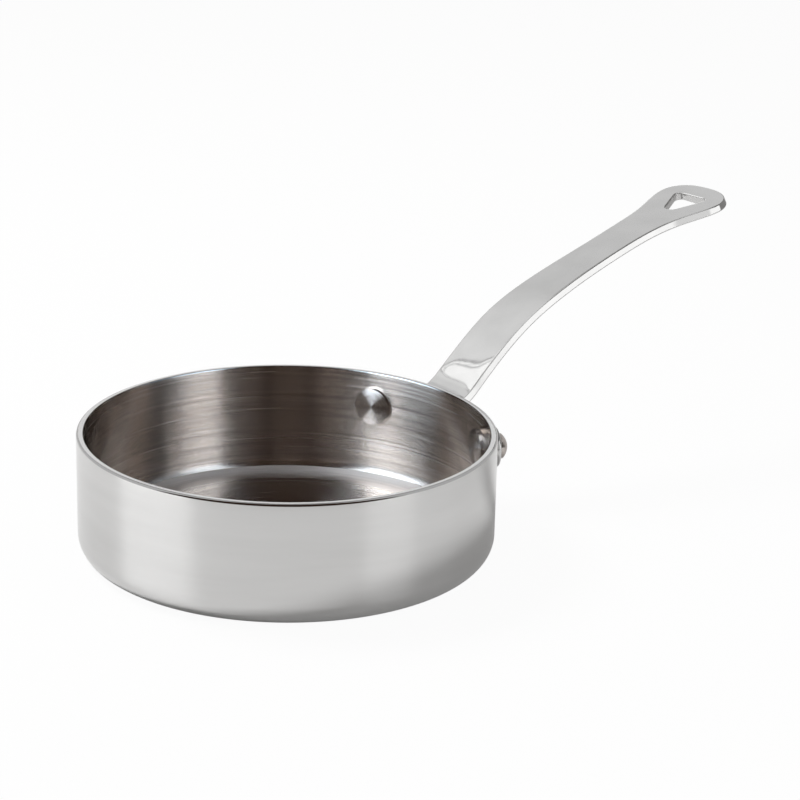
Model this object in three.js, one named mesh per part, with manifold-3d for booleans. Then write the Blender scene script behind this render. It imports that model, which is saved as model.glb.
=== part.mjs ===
// A mini saute pan: a three-ply body, a cast handle and the two rivets that hold it.
// Millimetres, +Z up. The origin is the centre of the base's underside, and the handle runs along +X.

import * as THREE from 'three';
import { mergeVertices } from 'three/addons/utils/BufferGeometryUtils.js';
import Module from 'manifold-3d';

// Pan body, outside sizes.
const PAN_RADIUS = 60;
const PAN_HEIGHT = 35.8;
const BASE_CORNER_RADIUS = 6.1;

// The three plies, from the outside in, and the bond line between each two.
const SHELL_THICKNESS = 0.5;
const CORE_THICKNESS = 0.9;
const LINER_THICKNESS = 0.5;
const BOND_LINE = 0.05;

// Rim: the liner turns over the core and ends against the shell, and the edges are rounded.
const RIM_LIP_THICKNESS = 0.6;
const RIM_OUTER_ROUND = 1.1;
const RIM_INNER_ROUND = 0.3;

// Rivets: one on each side of the handle, on one level below the rim.
const RIVET_SPACING = 49.4;
const RIVET_BELOW_RIM = 10.5;
const RIVET_SHANK_RADIUS = 2.5;
const RIVET_HEAD_RADIUS = 5.6;
const RIVET_HEAD_EDGE = 0.5;
const RIVET_HEAD_DOME = 1;
const RIVET_BUTTON_RADIUS = 3.75;
const RIVET_BUTTON_EDGE = 1.4;
const RIVET_BUTTON_DOME = 1.7;
const RIVET_CLEARANCE = 0.1;

// Foot plate of the handle: it follows the wall and ends in a round lobe at each rivet.
const FOOT_GAP = 0.2;
const FOOT_THICKNESS = 3;
const FOOT_LOBE_RADIUS = 6.2;
const FOOT_TOP_BELOW_RIM = 3.2;
const FOOT_EDGE_ROUND = 0.7;

// Handle, measured out from the wall and up from the rim along its top face.
const HANDLE_REACH = 114.2;
const HANDLE_RISE = 45.9;
const ROOT_BELOW_RIM = 0.7;
const EDGE_THICKNESS = 2.2;

// The stem's shape from the wall to the start of the round tip. Along and lift are shares of the way
// out and up, half is half the width, and deep is the depth of the belly under the middle.
const STEM_STATIONS = [
  { along: 0, lift: 0, half: 9, deep: 9 },
  { along: 0.038, lift: 0.043, half: 8.9, deep: 6.6 },
  { along: 0.095, lift: 0.159, half: 8.8, deep: 5.2 },
  { along: 0.21, lift: 0.364, half: 8.75, deep: 4.6 },
  { along: 0.38, lift: 0.556, half: 8.15, deep: 4 },
  { along: 0.63, lift: 0.743, half: 7.3, deep: 3.4 },
  { along: 0.76, lift: 0.828, half: 7.65, deep: 3 },
  { along: 0.875, lift: 0.891, half: 9.5, deep: 2.7 },
  { along: 0.95, lift: 0.929, half: 12, deep: 2.6 },
  { along: 1, lift: 0.955, half: 12.9, deep: 2.6 },
];

// Round tip past the last station. A lower fullness makes a squarer end.
const TIP_ROUND = 9;
const TIP_FULLNESS = 0.8;

// Hanging hole: a rounded triangle that points to the pan.
const HOLE_FROM_TIP = 7.4;
const HOLE_LENGTH = 12.2;
const HOLE_WIDTH = 12;
const HOLE_POINT_RADIUS = 2.4;
const HOLE_CORNER_RADIUS = 2;

// Fineness of the facets.
const RING_SEGMENTS = 72;
const CORNER_STEPS = 5;
const RIM_STEPS = 3;
const RIVET_SEGMENTS = 28;
const DOME_STEPS = 4;
const STEM_STEPS = 30;
const TIP_STEPS = 9;
const BELLY_STEPS = 8;
const EDGE_STEPS = 4;
const FOOT_STEPS = 18;
const LOBE_STEPS = 7;

// Sizes that follow from the driving ones.
const coreOffset = SHELL_THICKNESS + BOND_LINE;
const linerOffset = coreOffset + CORE_THICKNESS + BOND_LINE;
const wallThickness = linerOffset + LINER_THICKNESS;
const cookingRadius = PAN_RADIUS - wallThickness;
const footRadius = PAN_RADIUS + FOOT_GAP;
const footFace = footRadius + FOOT_THICKNESS;
const rivetAngle = Math.asin(RIVET_SPACING / 2 / PAN_RADIUS);
const rivetHeight = PAN_HEIGHT - RIVET_BELOW_RIM;
const stemLength = HANDLE_REACH - TIP_ROUND;
const rootStation = STEM_STATIONS[0];
const tipStation = STEM_STATIONS[STEM_STATIONS.length - 1];
const rootLevel = PAN_HEIGHT - ROOT_BELOW_RIM;
const tipLevel = PAN_HEIGHT + HANDLE_RISE;
const tipSlope = ((1 - tipStation.lift) * (tipLevel - rootLevel)) / TIP_ROUND;

const wasm = await Module();
wasm.setup();

function toSolid(geometry) {
  const bare = geometry.clone();
  bare.deleteAttribute('normal');
  bare.deleteAttribute('uv');
  const merged = mergeVertices(bare);
  const vertProperties = new Float32Array(merged.attributes.position.array);
  const triVerts = new Uint32Array(merged.index.array);
  return new wasm.Manifold(new wasm.Mesh({ numProp: 3, vertProperties, triVerts }));
}

function toGeometry(solid) {
  const mesh = solid.getMesh();
  const geometry = new THREE.BufferGeometry();
  geometry.setAttribute('position', new THREE.BufferAttribute(mesh.vertProperties, 3));
  geometry.setIndex(new THREE.BufferAttribute(mesh.triVerts, 1));
  geometry.computeVertexNormals();
  return geometry;
}

// Points of an arc in a profile, from one angle to another, both ends included.
function arcPoints(centreX, centreY, radius, from, to, steps) {
  const points = [];
  for (let i = 0; i <= steps; i += 1) {
    const angle = from + ((to - from) * i) / steps;
    points.push(new THREE.Vector2(centreX + radius * Math.cos(angle), centreY + radius * Math.sin(angle)));
  }
  return points;
}

// A profile of radius and height, turned about the vertical axis.
function turned(profile, segments) {
  return new THREE.LatheGeometry(profile, segments).rotateX(Math.PI / 2);
}

// The rounded top of the rim, from one radius in to a smaller one.
function rimPoints(outerRadius, innerRadius) {
  const centre = PAN_RADIUS - RIM_OUTER_ROUND;
  const level = PAN_HEIGHT - RIM_OUTER_ROUND;
  const angleAt = (radius) => Math.acos(THREE.MathUtils.clamp((radius - centre) / RIM_OUTER_ROUND, 0, 1));
  const points = [];
  if (outerRadius > centre) {
    const from = angleAt(outerRadius);
    const to = angleAt(innerRadius);
    points.push(...arcPoints(centre, level, RIM_OUTER_ROUND, from, to, RIM_STEPS));
  } else {
    points.push(new THREE.Vector2(outerRadius, PAN_HEIGHT));
  }
  if (innerRadius < centre) {
    points.push(new THREE.Vector2(innerRadius, PAN_HEIGHT));
  }
  return points;
}

// The bottom corner of a face that lies so far inside the pan's outer face, from base to wall.
function cornerPoints(inset) {
  const centre = PAN_RADIUS - BASE_CORNER_RADIUS;
  const radius = BASE_CORNER_RADIUS - inset;
  return arcPoints(centre, BASE_CORNER_RADIUS, radius, -Math.PI / 2, 0, CORNER_STEPS);
}

// A ply between two faces: along its underside, up its outside, over its rim and back down inside.
function plyProfile(outerInset, innerInset, rim) {
  return [
    new THREE.Vector2(0, outerInset),
    ...cornerPoints(outerInset),
    ...rim,
    ...cornerPoints(innerInset).reverse(),
    new THREE.Vector2(0, innerInset),
  ];
}

function shellProfile() {
  return plyProfile(0, SHELL_THICKNESS, rimPoints(PAN_RADIUS, PAN_RADIUS - SHELL_THICKNESS));
}

function coreProfile() {
  const top = PAN_HEIGHT - RIM_LIP_THICKNESS - BOND_LINE;
  const innerInset = coreOffset + CORE_THICKNESS;
  const rim = [
    new THREE.Vector2(PAN_RADIUS - coreOffset, top),
    new THREE.Vector2(PAN_RADIUS - innerInset, top),
  ];
  return plyProfile(coreOffset, innerInset, rim);
}

function linerProfile() {
  const lipUnderside = PAN_HEIGHT - RIM_LIP_THICKNESS;
  const lipRadius = PAN_RADIUS - coreOffset;
  const innerEdge = cookingRadius + RIM_INNER_ROUND;
  const innerLevel = PAN_HEIGHT - RIM_INNER_ROUND;
  const innerRound = arcPoints(innerEdge, innerLevel, RIM_INNER_ROUND, Math.PI / 2, Math.PI, RIM_STEPS);
  const rim = [
    new THREE.Vector2(PAN_RADIUS - linerOffset, lipUnderside),
    new THREE.Vector2(lipRadius, lipUnderside),
    ...rimPoints(lipRadius, innerEdge),
    ...innerRound.slice(1),
  ];
  return plyProfile(linerOffset, wallThickness, rim);
}

// A round bar in the place of a rivet, a little longer than the metal that the rivet passes through.
function rivetHoleSolid(side) {
  const radius = RIVET_SHANK_RADIUS + RIVET_CLEARANCE;
  const start = cookingRadius - RIVET_HEAD_RADIUS;
  const end = footFace + RIVET_BUTTON_RADIUS;
  const bar = new THREE.CylinderGeometry(radius, radius, end - start, RIVET_SEGMENTS);
  bar.rotateZ(-Math.PI / 2);
  bar.translate((start + end) / 2, 0, rivetHeight);
  bar.rotateZ(side * rivetAngle);
  return toSolid(bar);
}

function withRivetHoles(solid) {
  return solid.subtract(rivetHoleSolid(1)).subtract(rivetHoleSolid(-1));
}

function plyGeometry(profile) {
  return toGeometry(withRivetHoles(toSolid(turned(profile, RING_SEGMENTS))));
}

// A closed skin over rings of equally many points, with a fan at each end.
function loft(rings) {
  const count = rings[0].length;
  const corners = rings.flat();
  const indices = [];
  for (let i = 0; i + 1 < rings.length; i += 1) {
    for (let j = 0; j < count; j += 1) {
      const a = i * count + j;
      const b = i * count + ((j + 1) % count);
      indices.push(a, b, a + count, b, b + count, a + count);
    }
  }
  const addFan = (ring, first, isLast) => {
    const hub = corners.length;
    corners.push(ring.reduce((sum, point) => sum.add(point), new THREE.Vector3()).divideScalar(count));
    for (let j = 0; j < count; j += 1) {
      const a = first + j;
      const b = first + ((j + 1) % count);
      indices.push(hub, isLast ? a : b, isLast ? b : a);
    }
  };
  addFan(rings[0], 0, false);
  addFan(rings[rings.length - 1], (rings.length - 1) * count, true);
  const geometry = new THREE.BufferGeometry().setFromPoints(corners);
  geometry.setIndex(indices);
  return geometry;
}

// One section of the handle: a flat top, round edges, and a belly that is deepest in the middle.
function stemRing(top, tangent, half, deep) {
  const edge = EDGE_THICKNESS / 2;
  const flat = Math.max(half - edge, edge / 2);
  const outline = [];
  for (let i = 0; i <= EDGE_STEPS; i += 1) {
    const angle = Math.PI / 2 - (Math.PI * i) / EDGE_STEPS;
    outline.push([flat + edge * Math.cos(angle), edge * Math.sin(angle) - edge]);
  }
  for (let i = 1; i < BELLY_STEPS; i += 1) {
    const across = 1 - (2 * i) / BELLY_STEPS;
    const bulge = (deep - EDGE_THICKNESS) * Math.cos((across * Math.PI) / 2) ** 2;
    outline.push([flat * across, -EDGE_THICKNESS - bulge]);
  }
  for (let i = 0; i <= EDGE_STEPS; i += 1) {
    const angle = -Math.PI / 2 - (Math.PI * i) / EDGE_STEPS;
    outline.push([-flat + edge * Math.cos(angle), edge * Math.sin(angle) - edge]);
  }
  const up = new THREE.Vector3(-tangent.z, 0, tangent.x);
  return outline.map(([across, height]) => {
    const point = top.clone().addScaledVector(up, height);
    point.y = -across;
    return point;
  });
}

// The stem and its round tip. The stem starts inside the wall's space, which then trims it.
function stemGeometry() {
  const sunk = FOOT_THICKNESS + footRadius - Math.sqrt(footRadius ** 2 - rootStation.half ** 2);
  const tops = [new THREE.Vector3(PAN_RADIUS - sunk, 0, rootLevel)];
  const sizes = [new THREE.Vector3(-sunk, rootStation.half, rootStation.deep)];
  for (const { along, lift, half, deep } of STEM_STATIONS) {
    const out = along * stemLength;
    tops.push(new THREE.Vector3(PAN_RADIUS + out, 0, rootLevel + lift * (tipLevel - rootLevel)));
    sizes.push(new THREE.Vector3(out, half, deep));
  }
  const topLine = new THREE.CatmullRomCurve3(tops);
  const sizeLine = new THREE.CatmullRomCurve3(sizes);
  const rings = [];
  for (let i = 0; i <= STEM_STEPS; i += 1) {
    const t = i / STEM_STEPS;
    const size = sizeLine.getPoint(t);
    rings.push(stemRing(topLine.getPoint(t), topLine.getTangent(t), size.y, size.z));
  }
  const tangent = new THREE.Vector3(1, 0, tipSlope).normalize();
  const lastAngle = (Math.PI / 2) * (TIP_STEPS / (TIP_STEPS + 0.5));
  for (let i = 1; i <= TIP_STEPS; i += 1) {
    const angle = (lastAngle * i) / TIP_STEPS;
    const left = TIP_ROUND * (1 - Math.sin(angle) / Math.sin(lastAngle));
    const top = new THREE.Vector3(PAN_RADIUS + HANDLE_REACH - left, 0, tipLevel - tipSlope * left);
    rings.push(stemRing(top, tangent, tipStation.half * Math.cos(angle) ** TIP_FULLNESS, tipStation.deep));
  }
  return loft(rings);
}

// Lower and upper edge of the foot plate at places along the wall, from one lobe to the other.
function footColumns() {
  const lobeAt = footRadius * rivetAngle;
  const lobeLow = rivetHeight - FOOT_LOBE_RADIUS;
  const lobeHigh = rivetHeight + FOOT_LOBE_RADIUS;
  const middleHigh = PAN_HEIGHT - FOOT_TOP_BELOW_RIM;
  const lobe = [];
  for (let i = 0; i < LOBE_STEPS; i += 1) {
    const angle = (Math.PI / 2) * (1 - (i + 0.5) / LOBE_STEPS);
    const reach = FOOT_LOBE_RADIUS * Math.cos(angle);
    const along = lobeAt + FOOT_LOBE_RADIUS * Math.sin(angle);
    lobe.push({ along, low: rivetHeight - reach, high: rivetHeight + reach });
  }
  const middle = [];
  for (let i = 0; i <= FOOT_STEPS; i += 1) {
    const along = lobeAt * (1 - (2 * i) / FOOT_STEPS);
    const fall = THREE.MathUtils.smoothstep(Math.abs(along), rootStation.half, lobeAt);
    middle.push({ along, low: lobeLow, high: THREE.MathUtils.lerp(middleHigh, lobeHigh, fall) });
  }
  const otherLobe = lobe.map((column) => ({ ...column, along: -column.along })).reverse();
  return [...lobe, ...middle, ...otherLobe];
}

// The foot plate: a section at each column, bent round the wall.
function footGeometry() {
  const rings = footColumns().map(({ along, low, high }) => {
    const round = Math.min(FOOT_EDGE_ROUND, (high - low) / 3);
    const section = [
      [0, low],
      [FOOT_THICKNESS - FOOT_EDGE_ROUND, low],
      [FOOT_THICKNESS, low + round],
      [FOOT_THICKNESS, high - round],
      [FOOT_THICKNESS - FOOT_EDGE_ROUND, high],
      [0, high],
    ];
    const angle = along / footRadius;
    return section.map(([depth, height]) => {
      const radius = footRadius + depth;
      return new THREE.Vector3(radius * Math.cos(angle), radius * Math.sin(angle), height);
    });
  });
  return loft(rings);
}

// The outline of the hanging hole round three corner circles, with its point at X = 0.
function holeShape() {
  const cornerX = HOLE_LENGTH - HOLE_CORNER_RADIUS;
  const cornerY = HOLE_WIDTH / 2 - HOLE_CORNER_RADIUS;
  const spanX = cornerX - HOLE_POINT_RADIUS;
  const radiusStep = HOLE_CORNER_RADIUS - HOLE_POINT_RADIUS;
  const lean = Math.atan2(cornerY, spanX) + Math.asin(radiusStep / Math.hypot(spanX, cornerY));
  const side = Math.PI / 2 + lean;
  const shape = new THREE.Shape();
  shape.absarc(cornerX, -cornerY, HOLE_CORNER_RADIUS, -side, 0, false);
  shape.absarc(cornerX, cornerY, HOLE_CORNER_RADIUS, 0, side, false);
  shape.absarc(HOLE_POINT_RADIUS, 0, HOLE_POINT_RADIUS, side, 2 * Math.PI - side, false);
  return shape;
}

// The hole's cutter, square to the tip's top face and well past both of its faces.
function holeSolid() {
  const depth = 4 * tipStation.deep;
  const options = { depth, bevelEnabled: false, curveSegments: CORNER_STEPS };
  const cutter = new THREE.ExtrudeGeometry(holeShape(), options);
  cutter.translate(-HOLE_FROM_TIP - HOLE_LENGTH, 0, -depth / 2);
  cutter.rotateY(-Math.atan(tipSlope));
  cutter.translate(PAN_RADIUS + HANDLE_REACH, 0, tipLevel);
  return toSolid(cutter);
}

// The space that the pan takes up, with the foot's gap round its wall.
function panSpaceSolid() {
  const space = new THREE.CylinderGeometry(footRadius, footRadius, 2 * tipLevel, RING_SEGMENTS);
  return toSolid(space.rotateX(Math.PI / 2));
}

function handleGeometry() {
  const stem = toSolid(stemGeometry()).subtract(panSpaceSolid());
  const casting = withRivetHoles(stem.add(toSolid(footGeometry())));
  return toGeometry(casting.subtract(holeSolid()));
}

// A shallow cap of a sphere, as a profile from its edge to its top on the axis.
function domePoints(radius, height, level) {
  const sphere = (radius ** 2 + height ** 2) / (2 * height);
  const half = Math.asin(radius / sphere);
  const points = arcPoints(0, level + height - sphere, sphere, Math.PI / 2 - half, Math.PI / 2, DOME_STEPS);
  points[points.length - 1].x = 0;
  return points;
}

// A rivet along +X, from its broad head inside the pan to its button on the foot plate.
function rivetGeometry() {
  const wallBow = cookingRadius - Math.sqrt(cookingRadius ** 2 - RIVET_HEAD_RADIUS ** 2);
  const headSeat = cookingRadius - wallBow - RIVET_CLEARANCE;
  const buttonSeat = footFace + RIVET_CLEARANCE;
  const headDome = domePoints(RIVET_HEAD_RADIUS, RIVET_HEAD_DOME, RIVET_HEAD_EDGE);
  const profile = [
    ...headDome.reverse().map((point) => new THREE.Vector2(point.x, headSeat - point.y)),
    new THREE.Vector2(RIVET_HEAD_RADIUS, headSeat),
    new THREE.Vector2(RIVET_SHANK_RADIUS, headSeat),
    new THREE.Vector2(RIVET_SHANK_RADIUS, buttonSeat),
    new THREE.Vector2(RIVET_BUTTON_RADIUS, buttonSeat),
    ...domePoints(RIVET_BUTTON_RADIUS, RIVET_BUTTON_DOME, buttonSeat + RIVET_BUTTON_EDGE),
  ];
  const geometry = turned(profile, RIVET_SEGMENTS).rotateY(Math.PI / 2);
  return toGeometry(toSolid(geometry));
}

const polishedSteel = new THREE.MeshStandardMaterial({ color: 0xd4d3d1, metalness: 1, roughness: 0.16 });
const brushedSteel = new THREE.MeshStandardMaterial({ color: 0xb9b2ac, metalness: 1, roughness: 0.36 });
const aluminium = new THREE.MeshStandardMaterial({ color: 0xc6c8ca, metalness: 1, roughness: 0.5 });
const castSteel = new THREE.MeshStandardMaterial({ color: 0xcdccca, metalness: 1, roughness: 0.22 });
const rivetSteel = new THREE.MeshStandardMaterial({ color: 0xbcb7b3, metalness: 1, roughness: 0.28 });

function named(name, geometry, material) {
  const mesh = new THREE.Mesh(geometry, material);
  mesh.name = name;
  return mesh;
}

const pan = new THREE.Group();
pan.add(named('outer_shell', plyGeometry(shellProfile()), polishedSteel));
pan.add(named('aluminium_core', plyGeometry(coreProfile()), aluminium));
pan.add(named('inner_liner', plyGeometry(linerProfile()), brushedSteel));
pan.add(named('handle', handleGeometry(), castSteel));
for (const [name, side] of [['rivet_left', 1], ['rivet_right', -1]]) {
  const seat = new THREE.Group();
  seat.rotation.z = side * rivetAngle;
  const rivet = named(name, rivetGeometry(), rivetSteel);
  rivet.position.z = rivetHeight;
  seat.add(rivet);
  pan.add(seat);
}

export default pan;
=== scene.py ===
# %% [markdown]
# # A mini saute pan in polished and brushed steel
# The pan is a small pressed bowl of clad sheet with a cast handle riveted to its wall. Its measured model
# is already packed as a frame. This lesson opens that frame, stands the photograph's camera in it, and then
# makes each piece again in a finer mesh with its real finish. Sizes are written in millimetres, as a maker
# would give them, and turned into Blender's metres where a mesh is made.

import math

import bmesh
import bpy
import numpy as np
from mathutils import Matrix, Vector
from mathutils.geometry import delaunay_2d_cdt


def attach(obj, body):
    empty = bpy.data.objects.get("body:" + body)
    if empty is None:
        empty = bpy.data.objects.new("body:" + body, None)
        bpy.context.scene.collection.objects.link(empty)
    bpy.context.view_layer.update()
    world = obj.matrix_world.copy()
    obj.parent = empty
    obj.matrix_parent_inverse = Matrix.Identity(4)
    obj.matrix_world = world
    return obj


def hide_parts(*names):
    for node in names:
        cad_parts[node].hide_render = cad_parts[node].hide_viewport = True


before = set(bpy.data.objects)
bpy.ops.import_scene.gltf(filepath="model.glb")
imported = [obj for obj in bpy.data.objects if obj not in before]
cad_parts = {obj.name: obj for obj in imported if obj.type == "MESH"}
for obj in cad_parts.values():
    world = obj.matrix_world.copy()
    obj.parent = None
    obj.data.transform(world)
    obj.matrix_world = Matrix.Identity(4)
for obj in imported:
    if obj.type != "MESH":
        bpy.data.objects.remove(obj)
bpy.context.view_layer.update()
MM = 0.001
print("frame opened, nodes:", ", ".join(sorted(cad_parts)))

# %% [markdown]
# ## The camera
# The photograph was taken with a long lens from a little above the rim, so the rim is a flat ellipse and
# hardly any perspective shows. A camera could be placed by eye, but reflections in metal move with the
# smallest turn of it. So its place comes from a fit to the rim, the base and the handle: how far round,
# how high and how far off it stands, and which pixel of the 800 pixel frame the middle of the pan lands on.

# %% Stand the camera
PHOTO_PIXELS = 800
SENSOR_WIDTH = 36
LENS = 108
CAMERA_ROUND = math.radians(-38.8)
CAMERA_UP = math.radians(20.816)
CAMERA_ROLL = math.radians(0.46)
CAMERA_DISTANCE = 691.76
AIM_HEIGHT = 17.885
AIM_PIXEL = (287.37, 487.28)
NEAREST_SEEN = 10
FARTHEST_SEEN = 50000

backward = Vector(
    (
        math.sin(CAMERA_ROUND) * math.cos(CAMERA_UP),
        -math.cos(CAMERA_ROUND) * math.cos(CAMERA_UP),
        math.sin(CAMERA_UP),
    )
)
rightward = Vector((math.cos(CAMERA_ROUND), math.sin(CAMERA_ROUND), 0))
straight_on = Matrix((rightward, backward.cross(rightward), backward))

pixels_per_slope = LENS / SENSOR_WIDTH * PHOTO_PIXELS
aim = Vector(
    (
        (AIM_PIXEL[0] - PHOTO_PIXELS / 2) / pixels_per_slope,
        (PHOTO_PIXELS / 2 - AIM_PIXEL[1]) / pixels_per_slope,
        -1,
    )
).normalized()
swing = Vector((0, 0, -1)).rotation_difference(aim).to_matrix()
roll = Matrix.Rotation(CAMERA_ROLL, 3, aim)

camera = bpy.data.objects.new("photo_camera", bpy.data.cameras.new("photo_camera"))
camera.data.sensor_width = SENSOR_WIDTH
camera.data.lens = LENS
camera.data.clip_start = NEAREST_SEEN * MM
camera.data.clip_end = FARTHEST_SEEN * MM
camera_place = (Vector((0, 0, AIM_HEIGHT)) + backward * CAMERA_DISTANCE) * MM
camera.matrix_world = Matrix.Translation(camera_place) @ (roll @ swing @ straight_on).transposed().to_4x4()
bpy.context.scene.collection.objects.link(camera)
bpy.context.scene.camera = camera
bpy.context.scene.view_settings.view_transform = "Standard"
print("camera at", [round(value, 4) for value in camera_place])

# %% [markdown]
# ## The white sheet
# The pan stands on a white sheet in front of a white ground. The world and the sheet could be lit until they
# burn out, but that would flood the metal as well. Instead the Light Path node hands plain white to the rays
# that look at the ground, from the camera or by way of a reflection, and leaves a softer light for the rest.
# A share of the sheet stays an ordinary lit surface with a faint gloss, so that the pan's shadow is still
# there, and the wall mirrors the sheet in the broad soft bands that the photograph shows.

# %% Helpers for shader nodes
def add_node(tree, kind, inputs=(), **settings):
    """Adds a node, with its settings and the start values of its inputs by name or number."""
    node = tree.nodes.new(kind)
    for name, value in settings.items():
        setattr(node, name, value)
    for name, value in dict(inputs).items():
        node.inputs[name].default_value = value
    return node


def wire(tree, source, target, output=0, to=0):
    """Joins an output of one node to an input of another."""
    tree.links.new(source.outputs[output], target.inputs[to])


def mirrored_rays(tree, path):
    """One for rays from a reflection or through glass, and nought for the others."""
    mirrored = add_node(tree, "ShaderNodeMath", operation="MAXIMUM")
    wire(tree, path, mirrored, "Is Glossy Ray", 0)
    wire(tree, path, mirrored, "Is Transmission Ray", 1)
    return mirrored


# %% Make the white ground
PURE_WHITE = (1, 1, 1, 1)
WORLD_FILL = 0.38
FILL_TINT = (1, 0.99, 0.975, 1)

world = bpy.data.worlds.new("white_ground")
bpy.context.scene.world = world
world.use_nodes = True
world_tree = world.node_tree
world_tree.nodes.clear()
white_seen = add_node(world_tree, "ShaderNodeBackground", {"Color": PURE_WHITE, "Strength": 1})
white_fill = add_node(world_tree, "ShaderNodeBackground", {"Color": FILL_TINT, "Strength": WORLD_FILL})
world_path = add_node(world_tree, "ShaderNodeLightPath")
world_looks = add_node(world_tree, "ShaderNodeMath", operation="MAXIMUM")
world_mix = add_node(world_tree, "ShaderNodeMixShader")
world_end = add_node(world_tree, "ShaderNodeOutputWorld")
wire(world_tree, world_path, world_looks, "Is Camera Ray", 0)
wire(world_tree, mirrored_rays(world_tree, world_path), world_looks, 0, 1)
wire(world_tree, world_looks, world_mix, 0, 0)
wire(world_tree, white_fill, world_mix, 0, 1)
wire(world_tree, white_seen, world_mix, 0, 2)
wire(world_tree, world_mix, world_end)
print("world: white to look at, fill", WORLD_FILL)

# %% Lay the white sheet
SHEET_HALF = 3000
SHEET_DROP = 0.05
PAPER_TONE = (0.88, 0.88, 0.88, 1)
PAPER_ROUGHNESS = 0.32
PAPER_GLOSS = 0.22
CAMERA_WHITE = 0.95
MIRRORED_WHITE = 0.06

sheet_mesh = bpy.data.meshes.new("white_sheet")
sheet_corners = [(-1, -1), (1, -1), (1, 1), (-1, 1)]
sheet_points = [(x * SHEET_HALF * MM, y * SHEET_HALF * MM, -SHEET_DROP * MM) for x, y in sheet_corners]
sheet_mesh.from_pydata(sheet_points, [], [(0, 1, 2, 3)])
white_sheet = bpy.data.objects.new("white_sheet", sheet_mesh)
bpy.context.scene.collection.objects.link(white_sheet)

paper = bpy.data.materials.new("white_paper")
paper.use_nodes = True
paper_tree = paper.node_tree
paper_tree.nodes.clear()
paper_lit = add_node(paper_tree, "ShaderNodeBsdfPrincipled", {"Base Color": PAPER_TONE})
paper_lit.inputs["Roughness"].default_value = PAPER_ROUGHNESS
paper_lit.inputs["Specular IOR Level"].default_value = PAPER_GLOSS
paper_white = add_node(paper_tree, "ShaderNodeEmission", {"Color": PURE_WHITE, "Strength": 1})
paper_path = add_node(paper_tree, "ShaderNodeLightPath")
paper_lift = add_node(paper_tree, "ShaderNodeMath", {1: MIRRORED_WHITE}, operation="MULTIPLY")
paper_share = add_node(paper_tree, "ShaderNodeMath", {1: CAMERA_WHITE}, operation="MULTIPLY_ADD")
paper_mix = add_node(paper_tree, "ShaderNodeMixShader")
paper_end = add_node(paper_tree, "ShaderNodeOutputMaterial")
wire(paper_tree, mirrored_rays(paper_tree, paper_path), paper_lift)
wire(paper_tree, paper_path, paper_share, "Is Camera Ray", 0)
wire(paper_tree, paper_lift, paper_share, 0, 2)
wire(paper_tree, paper_share, paper_mix)
wire(paper_tree, paper_lit, paper_mix, 0, 1)
wire(paper_tree, paper_white, paper_mix, 0, 2)
wire(paper_tree, paper_mix, paper_end)
sheet_mesh.materials.append(paper)
print("sheet laid", 2 * SHEET_HALF, "mm square")

# %% [markdown]
# ## Lamps and tents
# Polished metal has next to no colour of its own: it shows the room. A photographer of cookware therefore
# lights the white sheet with lamps, and hangs a tent round the pan, with bright windows and dark cloth for
# the steel to mirror. A few plain cards could stand for the windows, but their edges would be hard, and a
# photographer also shades them for one piece at a time. Here each group of pieces has a round tent of its
# own, one inside the other. The shade of its cloth is written on the tent's points, only reflections see
# it, and Light Linking names the pieces that it shines on.

# %% Set the lamps
LAMP_AIM = Vector((0, 0, 20))

studio_turn = Matrix.Rotation(CAMERA_ROUND, 4, "Z")


def soft_lamp(name, place, side, watts):
    """A square lamp, placed right of, behind and above the pan as the photograph shows it."""
    lamp = bpy.data.lights.new(name, "AREA")
    lamp.shape = "SQUARE"
    lamp.size = side * MM
    lamp.energy = watts
    start = Vector(place)
    facing = (start - LAMP_AIM).to_track_quat("Z", "Y").to_matrix().to_4x4()
    holder = bpy.data.objects.new(name, lamp)
    holder.matrix_world = studio_turn @ Matrix.Translation(start * MM) @ facing
    holder.visible_glossy = False
    bpy.context.scene.collection.objects.link(holder)
    print(name, "of", watts, "W")


soft_lamp("key_lamp", place=(-560, 260, 820), side=400, watts=8)
soft_lamp("right_lamp", place=(420, -260, 300), side=150, watts=0.4)

# %% Choose the tents' windows
PLAIN_WHITE = (1, 1, 1)
COOL_WHITE = (0.85, 1, 1.15)
BOWL_DARK = (0.032, 0.017, 0.01)
HANDLE_GREY = (0.3, 0.295, 0.29)
RIVET_GREY = (0.1, 0.098, 0.095)

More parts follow.
